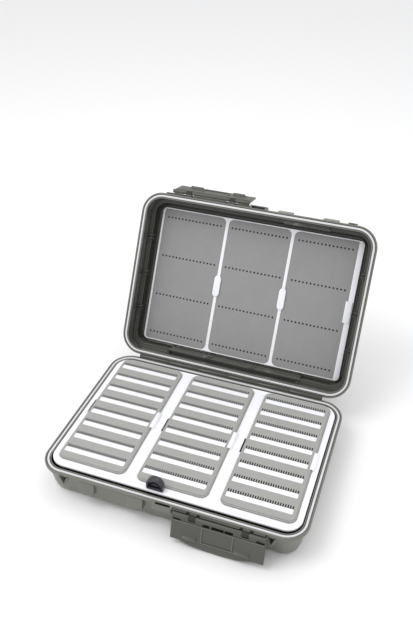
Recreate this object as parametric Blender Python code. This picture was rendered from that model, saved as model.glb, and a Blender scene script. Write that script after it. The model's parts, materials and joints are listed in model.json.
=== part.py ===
"""Large waterproof fly box, standing open on its base.

Two identical moulded half shells share one hinge line at the rim. The base carries a lift-out tray
with three slotted foam inserts and a finger pull. The lid carries a shallow tray with three flat
foam inserts. Each half has one over-centre latch flap that hooks the keepers of the other half.

All sizes below are millimetres and degrees; MM turns them into metres where a mesh is made.
A "half" frame has its origin at the centre of a shell's outer floor, +Z towards its rim and
+Y towards the hinge. The base half is the world frame; the lid half is the same frame turned
half a turn about Y and then swung open about the hinge.
"""

import math

import bmesh
import bpy
from mathutils import Euler, Matrix, Vector

MM = 0.001

# Half shell
FLANGE_X, FLANGE_Y, CORNER_R = 171.5, 120.5, 30.0
RIM_Z = 45.0
RIM_GAP = 0.15
CORNER_STEPS = 6
BOTTOM_INSET, BOTTOM_R = 22.0, 14.0
FLANGE_LOW_Z, WALL_TOP_INSET = 40.0, 3.2
FLOOR_THICKNESS, FLOOR_INSET, FLOOR_R = 3.0, 19.2, 8.0
LEDGE_INSET, LEDGE_LOW_Z, LEDGE_TOP_Z = 13.6, 20.5, 23.5
MOUTH_INSET, INNER_LAND_Z = 8.2, 44.5
GROOVE_INSETS, GROOVE_Z = (2.2, 6.8), 42.3
GASKET_INSETS, GASKET_Z = (3.1, 5.9), 42.6
FILLET_STEPS = 4

# Hinge along the rim's rear edge
HINGE_Y = 122.83
OPEN_ANGLE = 118.84
KNUCKLE_PITCH, KNUCKLE_COUNT = 46.0, 6
KNUCKLE_R, KNUCKLE_GAP, NOTCH_R = 3.4, 0.4, 3.8
HINGE_BORE_R, HINGE_PIN_R = 1.7, 1.4

# Latch flap, hung at the front of each half
LATCH_Y, LATCH_Z = -126.0, 41.0
LATCH_X = (14.0, 129.0)
LATCH_LEAN = 15.7
BARREL_R, LATCH_BORE_R, LATCH_PIN_R = 2.8, 1.5, 1.2
EAR_X = ((35.1, 42.9), (100.1, 107.9))
EAR_GAP = 0.4
FLAP_LENGTH, FLAP_THICKNESS = 33.5, 2.6
GRIP_X, GRIP_DEPTH = (26.0, 114.0), 8.0
LIP_X = ((29.0, 46.5), (92.5, 111.5))
LIP_REACH, LIP_START, LIP_END = 4.4, 25.0, 27.5

# Keepers, hasp loop and strap lugs at the front of each half
KEEPER_X = ((-113.0, -91.5), (-48.0, -27.0))
KEEPER_Y, KEEPER_Z = -123.3, (24.4, 32.0)
HASP_X, HASP_Y, HASP_Z = (-13.4, 12.0), -124.5, (36.0, 44.6)
HASP_SLOT_X, HASP_SLOT_Y, HASP_SLOT_FLOOR_Z = (-9.7, 9.1), (-123.3, -120.2), 37.5
LUG_X, LUG_HALF_WIDTH, LUG_LOW_Z, LUG_Y = 133.0, 6.5, 28.0, -122.6
BRACKET_X, BRACKET_Y, BRACKET_Z = (13.0, 126.0), (-122.7, -119.2), (37.5, 44.3)

# Base tray and its inserts
TRAY_HALF_X, TRAY_HALF_Y, TRAY_MID_Y, TRAY_R = 162.0, 109.0, 0.5, 20.0
TRAY_TOP_Z, TRAY_DECK, TRAY_SKIRT = 46.0, 7.0, 2.2
INSERT_PITCH, INSERT_MID_Y = 108.0, 4.5
POCKET_HALF_X, POCKET_HALF_Y, POCKET_R, POCKET_DEPTH = 46.5, 103.0, 10.0, 4.5
FIT_GAP = 0.3
PLATE_THICKNESS = 3.0
FOAM_HALF_X, FOAM_HALF_Y, FOAM_THICKNESS = 46.0, 102.5, 3.3
WINDOW_COUNT, WINDOW_PITCH, WINDOW_FIRST_Y = 8, 24.53, -86.6
WINDOW_MID_X, WINDOW_HALF_X, WINDOW_WIDTH = -1.2, 41.75, 8.5
BAR_HEIGHT = 2.7
BASE_CLIP_Y, BASE_CLIP_OVERLAP, BASE_CLIP_X = (-13.0, 16.0), 2.6, 51.0

# Finger pull on the base tray
PULL_X, PULL_Y, PULL_WIDTH, PULL_HEIGHT, PULL_THICKNESS = -17.0, -103.0, 22.0, 18.5, 8.0

# Lid tray and its inserts
LID_TRAY_HALF_X, LID_TRAY_HALF_Y, LID_TRAY_R = 151.5, 101.0, 6.0
LID_TRAY_Z = (3.4, 9.0)
LID_RIM_X, LID_RIM_Y, LID_DIVIDER_X, LID_DIVIDER = (7.8, 2.7), 1.4, 49.5, 4.5
LID_POCKET_FLOOR_Z, LID_POCKET_R = 5.0, 4.5
LID_PLATE_THICKNESS, LID_FOAM_THICKNESS = 1.4, 1.7
LID_CLIP_Y, LID_CLIP_HALF_X, LID_CLIP_Z = (-14.0, 17.0), 5.0, (9.1, 11.2)
LID_SIDE_CLIP_X = 3.9

SIDES = ("left", "middle", "right")


def clear_scene():
    for obj in list(bpy.data.objects):
        bpy.data.objects.remove(obj, do_unlink=True)


def plastic(name, colour, roughness):
    """A Principled material with a plain colour."""
    made = bpy.data.materials.new(name)
    made.use_nodes = True
    shader = made.node_tree.nodes["Principled BSDF"]
    shader.inputs["Base Color"].default_value = (*colour, 1.0)
    shader.inputs["Roughness"].default_value = roughness
    shader.inputs["Metallic"].default_value = 0.0
    return made


def steel(name):
    made = plastic(name, (0.62, 0.62, 0.60), 0.3)
    made.node_tree.nodes["Principled BSDF"].inputs["Metallic"].default_value = 1.0
    return made


def make_object(name, mesh, material):
    """Links a mesh, already in metres, as a named object."""
    if not mesh.materials:
        mesh.materials.append(material)
    obj = bpy.data.objects.new(name, mesh)
    bpy.context.scene.collection.objects.link(obj)
    return obj


def finish_mesh(name, bm):
    """Turns a bmesh in millimetres into a mesh in metres with its faces pointing out."""
    bmesh.ops.recalc_face_normals(bm, faces=bm.faces)
    bmesh.ops.scale(bm, vec=(MM, MM, MM), verts=bm.verts)
    mesh = bpy.data.meshes.new(name)
    bm.to_mesh(mesh)
    bm.free()
    return mesh


def arc(centre, radius, start, end, steps):
    """Points on a circle from one angle to another, both ends included."""
    angles = [math.radians(start + (end - start) * i / steps) for i in range(steps + 1)]
    return [(centre[0] + radius * math.cos(a), centre[1] + radius * math.sin(a)) for a in angles]


def rounded_rectangle(half_x, half_y, radius, mid=(0.0, 0.0), steps=CORNER_STEPS):
    """Anticlockwise outline of a rectangle with round corners."""
    points = []
    for quarter, (sx, sy) in enumerate(((1, 1), (-1, 1), (-1, -1), (1, -1))):
        centre = (mid[0] + sx * (half_x - radius), mid[1] + sy * (half_y - radius))
        points += arc(centre, radius, 90 * quarter, 90 * quarter + 90, steps)
    return points


def flange_inset(inset):
    """The flange's outline, drawn in by a distance."""
    return rounded_rectangle(FLANGE_X - inset, FLANGE_Y - inset, CORNER_R - inset)


def loft(rings, ring_closes=False):
    """Skins a list of 3-D rings of equal length; the ends are capped, or joined to each other."""
    bm = bmesh.new()
    rows = [[bm.verts.new(point) for point in ring] for ring in rings]
    pairs = list(zip(rows, rows[1:]))
    if ring_closes:
        pairs.append((rows[-1], rows[0]))
    else:
        bm.faces.new(rows[0])
        bm.faces.new(rows[-1])
    for low, high in pairs:
        for i, vert in enumerate(low):
            j = (i + 1) % len(low)
            bm.faces.new((vert, low[j], high[j], high[i]))
    return bm


def prism(outline, low, high, axis="Z"):
    """A polygon in the plane across an axis, extruded along that axis."""
    order = {"X": lambda a, b, h: (h, a, b), "Y": lambda a, b, h: (a, h, b), "Z": lambda a, b, h: (a, b, h)}
    place = order[axis]
    return loft([[place(a, b, h) for a, b in outline] for h in (low, high)])


def box(x, y, z):
    """A block between pairs of limits."""
    corners = [(x[0], y[0]), (x[1], y[0]), (x[1], y[1]), (x[0], y[1])]
    return prism(corners, z[0], z[1])


def circle(centre, radius, sides=16):
    return arc(centre, radius, 180 / sides, 360 + 180 / sides, sides)[:-1]


def combine(target, tools, operation):
    """Unites or subtracts millimetre shapes with the target, and keeps the result as its mesh."""
    helpers = []
    for number, bm in enumerate(tools):
        helper = bpy.data.objects.new(f"{target.name}_tool_{number}", finish_mesh("tool", bm))
        bpy.context.scene.collection.objects.link(helper)
        modifier = target.modifiers.new(operation, "BOOLEAN")
        modifier.operation = operation
        modifier.solver = "EXACT"
        modifier.object = helper
        helpers.append(helper)
    graph = bpy.context.evaluated_depsgraph_get()
    mesh = bpy.data.meshes.new_from_object(target.evaluated_get(graph))
    target.modifiers.clear()
    target.data = mesh
    for helper in helpers:
        bpy.data.objects.remove(helper, do_unlink=True)


def add(target, *tools):
    combine(target, tools, "UNION")


def cut(target, *tools):
    combine(target, tools, "DIFFERENCE")


def smooth(obj, angle=35.0):
    obj.data.shade_smooth()
    obj.data.set_sharp_from_angle(angle=math.radians(angle))


def shell_profile():
    """(inset, height) pairs from the middle of the outer floor, over the rim, to the inner floor."""
    outer = [
        (BOTTOM_INSET - BOTTOM_R * math.sin(a), BOTTOM_R - BOTTOM_R * math.cos(a))
        for a in (math.pi / 2 * i / FILLET_STEPS for i in range(FILLET_STEPS + 1))
    ]
    land_z = RIM_Z - RIM_GAP
    rim = [
        (WALL_TOP_INSET, FLANGE_LOW_Z),
        (0.0, FLANGE_LOW_Z + 0.3),
        (0.0, land_z - 0.5),
        (0.5, land_z),
        (GROOVE_INSETS[0], land_z),
        (GROOVE_INSETS[0], GROOVE_Z),
        (GROOVE_INSETS[1], GROOVE_Z),
        (GROOVE_INSETS[1], INNER_LAND_Z),
        (MOUTH_INSET, INNER_LAND_Z),
        (MOUTH_INSET + 0.6, LEDGE_TOP_Z),
        (LEDGE_INSET, LEDGE_TOP_Z),
        (LEDGE_INSET, LEDGE_LOW_Z + 1.0),
        (LEDGE_INSET - 3.0, LEDGE_LOW_Z - 2.0),
    ]
    inner = [
        (FLOOR_INSET - FLOOR_R * math.cos(a), FLOOR_THICKNESS + FLOOR_R - FLOOR_R * math.sin(a))
        for a in (math.pi / 2 * i / FILLET_STEPS for i in range(FILLET_STEPS + 1))
    ]
    return outer + rim + inner


def knuckle_spans(own):
    """X limits of this half's hinge knuckles, or of the other half's."""
    start = -KNUCKLE_PITCH * KNUCKLE_COUNT / 2
    first = 0 if own else 1
    return [
        (start + KNUCKLE_PITCH * i, start + KNUCKLE_PITCH * (i + 1))
        for i in range(first, KNUCKLE_COUNT, 2)
    ]


def knuckle_outline():
    """Section of a knuckle: a round eye with a web running into the flange and the wall."""
    eye = arc((HINGE_Y, RIM_Z), KNUCKLE_R, -110, 180, 14)
    return eye + [(119.0, 43.5), (118.8, 41.5), (116.2, 40.8), (116.2, 36.8)]


def ear_outline():
    """Section of a latch ear: an eye round the latch axis with a web into the flange and the wall."""
    eye = arc((LATCH_Y, LATCH_Z), BARREL_R, 90, 270, 8)
    return eye + [(-121.5, 38.2), (-116.0, 34.5), (-116.0, 38.0), (-119.0, 41.0), (-119.0, 43.8)]


def half_shell(name, material):
    rings = [[(x, y, z) for x, y in flange_inset(inset)] for inset, z in shell_profile()]
    shell = make_object(name, finish_mesh(name, loft(rings)), material)
    hinge_line = (HINGE_Y, RIM_Z)
    latch_line = (LATCH_Y, LATCH_Z)
    end = KNUCKLE_PITCH * KNUCKLE_COUNT / 2 + 2
    half_gap = KNUCKLE_GAP / 2
    cut(shell, *[prism(circle(hinge_line, NOTCH_R), a, b, "X") for a, b in knuckle_spans(own=False)])
    lugs = [
        prism(
            [(x - LUG_HALF_WIDTH, 40.8), (x, LUG_LOW_Z), (x + LUG_HALF_WIDTH, 40.8)],
            LUG_Y, -113.6, "Y",
        )
        for x in (-LUG_X, LUG_X)
    ]
    add(
        shell,
        *[prism(knuckle_outline(), a + half_gap, b - half_gap, "X") for a, b in knuckle_spans(own=True)],
        *[prism(ear_outline(), a, b, "X") for a, b in EAR_X],
        *[box(x, (KEEPER_Y, -113.5), KEEPER_Z) for x in KEEPER_X],
        box(HASP_X, (HASP_Y, -119.2), HASP_Z),
        box(HASP_X, (HASP_Y, -114.5), (HASP_Z[0], FLANGE_LOW_Z + 1)),
        box(BRACKET_X, BRACKET_Y, BRACKET_Z),
        *lugs,
    )
    cut(
        shell,
        prism(circle(hinge_line, HINGE_BORE_R, 12), -end, end, "X"),
        prism(circle(latch_line, LATCH_BORE_R, 12), LATCH_X[0], LATCH_X[1], "X"),
        box(HASP_SLOT_X, HASP_SLOT_Y, (HASP_SLOT_FLOOR_Z, HASP_Z[1] + 2)),
    )
    smooth(shell)
    return shell


def gasket(name, material):
    """A square-section seal ring that lies in the rim groove."""
    section = [(GASKET_INSETS[0], GASKET_Z), (GASKET_INSETS[1], GASKET_Z)]
    top = RIM_Z - RIM_GAP
    section += [(GASKET_INSETS[1], top - 0.5), (GASKET_INSETS[1] - 0.6, top)]
    section += [(GASKET_INSETS[0] + 0.6, top), (GASKET_INSETS[0], top - 0.5)]
    rings = [[(x, y, z) for x, y in flange_inset(inset)] for inset, z in section]
    ring = make_object(name, finish_mesh(name, loft(rings, ring_closes=True)), material)
    smooth(ring)
    return ring


def rod(name, centre, radius, span, material):
    """A pin along X."""
    made = make_object(name, finish_mesh(name, prism(circle(centre, radius, 12), *span, "X")), material)
    smooth(made)
    return made


def slab(name, half_x, half_y, radius, mid, z, material):
    """A flat plate with round corners."""
    outline = rounded_rectangle(half_x, half_y, radius, mid, steps=3)
    return make_object(name, finish_mesh(name, prism(outline, *z)), material)


def base_tray(material):
    mid = (0.0, TRAY_MID_Y)
    body = rounded_rectangle(TRAY_HALF_X, TRAY_HALF_Y, TRAY_R, mid)
    hollow = rounded_rectangle(TRAY_HALF_X - TRAY_SKIRT, TRAY_HALF_Y - TRAY_SKIRT, TRAY_R - 2, mid)
    low = LEDGE_TOP_Z + FIT_GAP
    tray = make_object("base_tray", finish_mesh("base_tray", prism(body, low, TRAY_TOP_Z)), material)
    pockets = [
        prism(
            rounded_rectangle(POCKET_HALF_X, POCKET_HALF_Y, POCKET_R, (x, INSERT_MID_Y), steps=3),
            TRAY_TOP_Z - POCKET_DEPTH, TRAY_TOP_Z + 2,
        )
        for x in insert_centres()
    ]
    cut(tray, prism(hollow, low - 2, TRAY_TOP_Z - TRAY_DECK), *pockets)
    foam_top = TRAY_TOP_Z - POCKET_DEPTH + FIT_GAP * 2 + PLATE_THICKNESS + FOAM_THICKNESS
    over = (foam_top + FIT_GAP, foam_top + FIT_GAP + 1.8)
    clips = []
    for x in insert_centres():
        outline = [
            (x + POCKET_HALF_X + 0.5, TRAY_TOP_Z - 1.0),
            (x + BASE_CLIP_X, TRAY_TOP_Z - 1.0),
            (x + BASE_CLIP_X, over[1]),
            (x + FOAM_HALF_X - BASE_CLIP_OVERLAP, over[1]),
            (x + FOAM_HALF_X - BASE_CLIP_OVERLAP, over[0]),
            (x + POCKET_HALF_X + 0.5, over[0]),
        ]
        clips.append(prism(outline, *BASE_CLIP_Y, "Y"))
    add(tray, *clips)
    smooth(tray)
    return tray


def insert_centres():
    return [INSERT_PITCH * (i - 1) for i in range(len(SIDES))]


def base_insert(side, x, plate_material, foam_material):
    """A hard plate in its pocket, and the slotted foam that its raised bars show through."""
    plate_z = TRAY_TOP_Z - POCKET_DEPTH + FIT_GAP
    foam_z = plate_z + PLATE_THICKNESS + FIT_GAP
    mid = (x, INSERT_MID_Y)
    plate = slab(
        f"base_insert_plate_{side}", POCKET_HALF_X - 0.4, POCKET_HALF_Y - 0.4, POCKET_R - 0.4, mid,
        (plate_z, plate_z + PLATE_THICKNESS), plate_material,
    )
    foam = slab(
        f"base_foam_{side}", FOAM_HALF_X, FOAM_HALF_Y, POCKET_R - 0.5, mid,
        (foam_z, foam_z + FOAM_THICKNESS), foam_material,
    )
    window_x = (x + WINDOW_MID_X - WINDOW_HALF_X, x + WINDOW_MID_X + WINDOW_HALF_X)
    starts = [WINDOW_FIRST_Y + WINDOW_PITCH * i for i in range(WINDOW_COUNT)]
    cut(foam, *[box(window_x, (y, y + WINDOW_WIDTH), (foam_z - 2, foam_z + 6)) for y in starts])
    bar_x = (window_x[0] + FIT_GAP, window_x[1] - FIT_GAP)
    bar_z = (foam_z - 1, foam_z + BAR_HEIGHT)
    add(plate, *[box(bar_x, (y + FIT_GAP, y + WINDOW_WIDTH - FIT_GAP), bar_z) for y in starts])


def tray_pull(material):
    """An upright D-shaped tab, hollowed from the front."""
    foot = TRAY_TOP_Z + FIT_GAP
    radius = PULL_WIDTH / 2
    eye = (PULL_X, foot + PULL_HEIGHT - radius)
    half = PULL_THICKNESS / 2
    outline = [(PULL_X - radius, foot), (PULL_X + radius, foot)] + arc(eye, radius, 0, 180, 12)
    hollow = [(PULL_X - radius + 3, foot + 3), (PULL_X + radius - 3, foot + 3)]
    hollow += arc(eye, radius - 3, 0, 180, 10)
    pull = make_object(
        "tray_pull", finish_mesh("tray_pull", prism(outline, PULL_Y - half, PULL_Y + half, "Y")), material
    )
    cut(pull, prism(hollow, PULL_Y - half - 2, PULL_Y + half - 4, "Y"))
    smooth(pull)
    return pull


def lid_tray(material):
    mid = (0.0, TRAY_MID_Y)
    body = rounded_rectangle(LID_TRAY_HALF_X, LID_TRAY_HALF_Y, LID_TRAY_R, mid)
    tray = make_object("lid_tray", finish_mesh("lid_tray", prism(body, *LID_TRAY_Z)), material)
    cut(
        tray,
        *[
            prism(lid_pocket(low, high, 0.0), LID_POCKET_FLOOR_Z, LID_TRAY_Z[1] + 2)
            for low, high in lid_pocket_spans()
        ],
    )
    clips = []
    for x in (-LID_DIVIDER_X, LID_DIVIDER_X, LID_SIDE_CLIP_X - LID_TRAY_HALF_X):
        outline = [
            (x - LID_DIVIDER / 2 + 0.2, LID_TRAY_Z[1] - 1.5),
            (x + LID_DIVIDER / 2 - 0.2, LID_TRAY_Z[1] - 1.5),
            (x + LID_DIVIDER / 2 - 0.2, LID_CLIP_Z[0]),
            (x + LID_CLIP_HALF_X, LID_CLIP_Z[0]),
            (x + LID_CLIP_HALF_X, LID_CLIP_Z[1]),
            (x - LID_CLIP_HALF_X, LID_CLIP_Z[1]),
            (x - LID_CLIP_HALF_X, LID_CLIP_Z[0]),
            (x - LID_DIVIDER / 2 + 0.2, LID_CLIP_Z[0]),
        ]
        clips.append(prism(outline, *LID_CLIP_Y, "Y"))
    add(tray, *clips)
    smooth(tray)
    return tray


def lid_pocket_spans():
    """X limits of the three pockets between the lid tray's rim and dividers."""
    inner = LID_DIVIDER_X - LID_DIVIDER / 2
    outer = LID_DIVIDER_X + LID_DIVIDER / 2
    low, high = LID_RIM_X[0] - LID_TRAY_HALF_X, LID_TRAY_HALF_X - LID_RIM_X[1]
    return [(low, -outer), (-inner, inner), (outer, high)]


def lid_pocket(low, high, gap):
    half_y = LID_TRAY_HALF_Y - LID_RIM_Y - gap
    mid = ((low + high) / 2, TRAY_MID_Y)
    return rounded_rectangle((high - low) / 2 - gap, half_y, LID_POCKET_R - gap, mid, steps=3)


def lid_insert(side, span, plate_material, foam_material):
    """A thin plate and the flat foam bonded over it, in one pocket of the lid tray."""
    plate_z = LID_POCKET_FLOOR_Z + FIT_GAP
    foam_z = plate_z + LID_PLATE_THICKNESS + FIT_GAP
    outline = lid_pocket(*span, FIT_GAP)
    plate_name, foam_name = f"lid_insert_plate_{side}", f"lid_foam_{side}"
    plate = prism(outline, plate_z, plate_z + LID_PLATE_THICKNESS)
    foam = prism(outline, foam_z, foam_z + LID_FOAM_THICKNESS)
    return [
        make_object(plate_name, finish_mesh(plate_name, plate), plate_material),
        make_object(foam_name, finish_mesh(foam_name, foam), foam_material),
    ]


def flap_outline():
    """The flap in X and distance below its axis: straight sides, and a shallow arc for the grip."""
    low, high = GRIP_X
    steps = 14
    points = [(LATCH_X[1], -1.0), (LATCH_X[1], -FLAP_LENGTH)]
    for i in range(steps + 1):
        share = i / steps
        x = high + (low - high) * share
        points.append((x, -FLAP_LENGTH - GRIP_DEPTH * math.sin(math.pi * share)))
    points += [(LATCH_X[0], -FLAP_LENGTH), (LATCH_X[0], -1.0)]
    for low_x, high_x in EAR_X:
        points += [
            (low_x - EAR_GAP, -1.0),
            (low_x - EAR_GAP, -4.2),
            (high_x + EAR_GAP, -4.2),
            (high_x + EAR_GAP, -1.0),
        ]
    return points


def latch(name, material):
    """The latch flap in its own frame: origin on its axis, hanging along -Z, lips towards -Y."""
    half = FLAP_THICKNESS / 2
    flap = make_object(name, finish_mesh(name, prism(flap_outline(), -half, half, "Y")), material)
    edges = [LATCH_X[0]] + [x for a, b in EAR_X for x in (a - EAR_GAP, b + EAR_GAP)] + [LATCH_X[1]]
    barrels = [prism(circle((0.0, 0.0), BARREL_R), a, b, "X") for a, b in zip(edges[::2], edges[1::2])]
    lips = [box(x, (-LIP_REACH, 0.5), (-LIP_END, -LIP_START)) for x in LIP_X]
    add(flap, *barrels, *lips)
    cut(flap, prism(circle((0.0, 0.0), LATCH_BORE_R, 12), LATCH_X[0] - 2, LATCH_X[1] + 2, "X"))
    smooth(flap)
    return flap


def lid_frame():
    """An empty on the hinge axis, turned so that its frame is the lid half's."""
    empty = bpy.data.objects.new("lid_hinge", None)
    bpy.context.scene.collection.objects.link(empty)
    turn = Matrix.Rotation(-math.radians(OPEN_ANGLE), 4, "X") @ Matrix.Rotation(math.pi, 4, "Y")
    empty.matrix_world = Matrix.Translation((0.0, HINGE_Y * MM, RIM_Z * MM)) @ turn
    return empty


def put_on_lid(obj, hinge, place=(0.0, 0.0, 0.0)):
    """Hangs a piece made in the half frame on the lid."""
    obj.parent = hinge
    obj.location = (Vector(place) - Vector((0.0, HINGE_Y, RIM_Z))) * MM


def twin(name, original):
    """The other half's copy of a piece; both share one mesh."""
    obj = bpy.data.objects.new(name, original.data)
    bpy.context.scene.collection.objects.link(obj)
    return obj


def build():
    clear_scene()
    olive = plastic("shell_plastic", (0.235, 0.235, 0.205), 0.42)
    flap_plastic = plastic("latch_plastic", (0.125, 0.125, 0.112), 0.45)
    seal = plastic("seal_rubber", (0.72, 0.72, 0.74), 0.35)
    white = plastic("tray_plastic", (0.80, 0.81, 0.84), 0.4)
    slotted = plastic("base_foam", (0.38, 0.40, 0.39), 0.85)
    flat = plastic("lid_foam", (0.29, 0.29, 0.30), 0.85)
    black = plastic("pull_plastic", (0.02, 0.018, 0.026), 0.25)
    pin_steel = steel("pin_steel")
    hinge = lid_frame()

    shell = half_shell("base_shell", olive)
    seal_ring = gasket("base_gasket", seal)
    pin_reach = KNUCKLE_PITCH * KNUCKLE_COUNT / 2 - 1
    rod("hinge_pin", (HINGE_Y, RIM_Z), HINGE_PIN_R, (-pin_reach, pin_reach), pin_steel)
    latch_pin = rod(
        "base_latch_pin", (LATCH_Y, LATCH_Z), LATCH_PIN_R, (LATCH_X[0] + 1, LATCH_X[1] - 1), pin_steel
    )
    base_tray(white)
    for side, x in zip(SIDES, insert_centres()):
        base_insert(side, x, white, slotted)
    tray_pull(black)

    put_on_lid(twin("lid_shell", shell), hinge)
    put_on_lid(twin("lid_gasket", seal_ring), hinge)
    put_on_lid(twin("lid_latch_pin", latch_pin), hinge)
    put_on_lid(lid_tray(white), hinge)
    for side, span in zip(reversed(SIDES), lid_pocket_spans()):
        for piece in lid_insert(side, span, white, flat):
            put_on_lid(piece, hinge)

    hang = Euler((-math.radians(LATCH_LEAN), 0.0, 0.0))
    base_latch = latch("base_latch", flap_plastic)
    base_latch.location = Vector((0.0, LATCH_Y, LATCH_Z)) * MM
    lid_latch = twin("lid_latch", base_latch)
    put_on_lid(lid_latch, hinge, (0.0, LATCH_Y, LATCH_Z))
    for flap in (base_latch, lid_latch):
        flap.rotation_euler = hang


build()
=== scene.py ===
"""Looks for a large waterproof fly box that stands open on its base.

Lengths are millimetres, turned into metres by MM where a mesh is made. Both halves are the same
moulding, so every piece is built in the "half" frame: origin at the centre of the shell's outer
floor, +Z towards the rim, +Y towards the hinge. The base half is the world frame. LID_PLACE swings
a piece from there to the open lid.
"""
import json
import math

import bmesh
import bpy
from mathutils import Euler, Matrix, Vector


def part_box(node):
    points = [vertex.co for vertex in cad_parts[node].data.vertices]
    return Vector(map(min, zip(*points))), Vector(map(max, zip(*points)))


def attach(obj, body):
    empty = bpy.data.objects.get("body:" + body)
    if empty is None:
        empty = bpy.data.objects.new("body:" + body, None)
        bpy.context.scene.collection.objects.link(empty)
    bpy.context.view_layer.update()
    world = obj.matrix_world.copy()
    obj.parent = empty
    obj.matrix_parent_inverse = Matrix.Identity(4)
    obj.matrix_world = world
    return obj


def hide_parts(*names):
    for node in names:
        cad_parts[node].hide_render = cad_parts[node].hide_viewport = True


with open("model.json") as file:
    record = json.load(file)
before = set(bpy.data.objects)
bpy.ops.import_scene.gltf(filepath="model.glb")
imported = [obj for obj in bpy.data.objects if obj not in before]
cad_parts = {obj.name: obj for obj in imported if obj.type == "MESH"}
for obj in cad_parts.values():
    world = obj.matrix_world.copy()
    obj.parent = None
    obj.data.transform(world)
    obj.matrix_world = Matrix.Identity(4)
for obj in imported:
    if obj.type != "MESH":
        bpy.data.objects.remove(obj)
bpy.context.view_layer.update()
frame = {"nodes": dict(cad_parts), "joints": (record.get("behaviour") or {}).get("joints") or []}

MM = 0.001


def node_box(node):
    """A CAD node's lowest and highest corners, in millimetres."""
    low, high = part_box(node)
    return low / MM, high / MM


JOINTS = {joint["name"]: joint for joint in frame["joints"]}
HINGE = Vector(JOINTS["lid_hinge"]["pos_m"])
HINGE_Y, RIM_Z = HINGE.y / MM, HINGE.z / MM
OPEN_ANGLE = math.radians(JOINTS["lid_hinge"]["range_deg"][1])
LATCH_AXIS = Vector(JOINTS["base_latch_hinge"]["pos_m"]) / MM
LATCH_LEAN = math.pi - math.radians(JOINTS["base_latch_hinge"]["range_deg"][1])
LID_PLACE = (
    Matrix.Translation(HINGE)
    @ Matrix.Rotation(-OPEN_ANGLE, 4, "X")
    @ Matrix.Rotation(math.pi, 4, "Y")
    @ Matrix.Translation(-HINGE)
)

# Shell
FLANGE_X = node_box("base_shell")[1].x
FLANGE_Y, CORNER_R = 120.5, 30.0
LAND_Z = RIM_Z - 0.15
KNUCKLE_PITCH, KNUCKLE_COUNT, KNUCKLE_R, NOTCH_R = 46.0, 6, 3.4, 3.8
EAR_X, EAR_GAP = ((35.1, 42.9), (100.1, 107.9)), 0.4
BRACKET_X = (13.0, 126.0)
KEEPER_X = ((-113.0, -91.5), (-48.0, -27.0))
LUG_X = 133.0
HINGE_BORE_R, LATCH_BORE_R = 1.7, 1.5
RAIL_X = (-96.0, 101.0)
GROOVE_X, GROOVE_Y, GROOVE_Z = (-97.0, 102.0), (109.0, 113.4), (28.0, 32.6)
RIB_PAIRS_Y = (-54.0, 0.6, 54.0)
# Slot 1 holds painted shade for the inside, the recesses, the hinge and the bar behind the latch; slot 2 a
# deeper painted shade; slot 3 painted light on the hinge-side rail.
PAINTED_SHADE_SLOT, SHADED, PAINTED_LIGHT_SLOT = 1, 2, 3  # the shell's material slots after the outside's

# Latch flap
LATCH_X = (node_box("base_latch_pin")[0].x - 1.0, node_box("base_latch_pin")[1].x + 1.0)
BARREL_R = 2.8
LIP_X = ((29.0, 46.5), (92.5, 111.5))
FLAP_LENGTH, FLAP_THICKNESS, GRIP_X, GRIP_DEPTH = 33.5, 2.2, (26.0, 114.0), 8.0
RIB_HEIGHT, FRAME_LEFT, FRAME_RIGHT = 1.0, (51.7, 53.1), (89.4, 90.8)
FLAP_SLOTS_X = ((16.1, 25.5), (52.4, 61.0), (63.3, 78.4), (79.7, 89.5), (117.5, 127.4))
FLAP_SLOT_Z = (-5.9, -1.3)

# Base tray and inserts
TRAY_LOW, TRAY_HIGH = node_box("base_tray")
TRAY_MID_Y = (TRAY_LOW.y + TRAY_HIGH.y) / 2
TRAY_HALF = ((TRAY_HIGH.x - TRAY_LOW.x) / 2, (TRAY_HIGH.y - TRAY_LOW.y) / 2)
TRAY_TOP_Z, TRAY_R = 46.0, 20.0
SIDES = ("left", "middle", "right")
WINDOW_COUNT, WINDOW_PITCH, WINDOW_FIRST_Y, WINDOW_WIDTH = 8, 24.53, -86.6, 8.5
WINDOW_MID_X, WINDOW_HALF_X = -1.2, 41.75
SLIT_COUNT, SLIT_PITCH, SLIT_WIDTH, SLIT_DEPTH = 27, 3.08, 1.5, 4.2
FOAM_SKIN, FOAM_TOP_LAYER, FOAM_STEP = 0.5, 0.9, 1.6
# TRAY_EDGE: how far the white reaches down the tray's side before the painted shade.
TRAY_SKIRT, TRAY_EDGE = 2.2, 2.65
BASE_CLIP_Y, PRY_SLOT_Y = (-13.0, 16.0), (-12.0, 13.0)

# Lid tray and inserts
LID_TRAY_HALF, LID_TRAY_R, LID_TRAY_Z = (151.5, 101.0), 6.0, (3.4, 9.0)
LID_RIM_X, LID_RIM_Y, LID_DIVIDER_X, LID_DIVIDER = (7.8, 2.7), 1.4, 49.5, 4.5
LID_CLIP_Y = (-14.0, 17.0)
LID_FOAM_Z, LID_FOAM_SKIN = (7.0, 8.7), 0.4
HOLE_ROWS_Y, HOLE_PITCH, HOLE_R = (-86.7, -28.6, 30.4, 88.6), 5.5, 1.35

# Camera and lights, in metres and degrees
CAMERA_PLACE = Vector((0.2345, -0.62683, 0.67939 + RIM_Z * MM))
CAMERA_AZIMUTH, CAMERA_TILT, CAMERA_ROLL = 19.264, 54.697, 0.494
CAMERA_LENS_MM, CAMERA_SHIFT = 41.60, (-0.00676, -0.00573)
LIGHT_TARGET = (0.0, 0.05, 0.06)
WORLD_STRENGTH = 0.88


# ---------------------------------------------------------------- outlines

def arc(centre, radius, start, end, steps):
    angles = [math.radians(start + (end - start) * i / steps) for i in range(steps + 1)]
    return [(centre[0] + radius * math.cos(a), centre[1] + radius * math.sin(a)) for a in angles]


def circle(centre, radius, sides):
    return arc(centre, radius, 0, 360, sides)[:-1]


def plan_of(low, high):
    """A box's centre and half sizes, seen from above."""
    middle = ((low.x + high.x) / 2, (low.y + high.y) / 2)
    return middle, ((high.x - low.x) / 2, (high.y - low.y) / 2)


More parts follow.
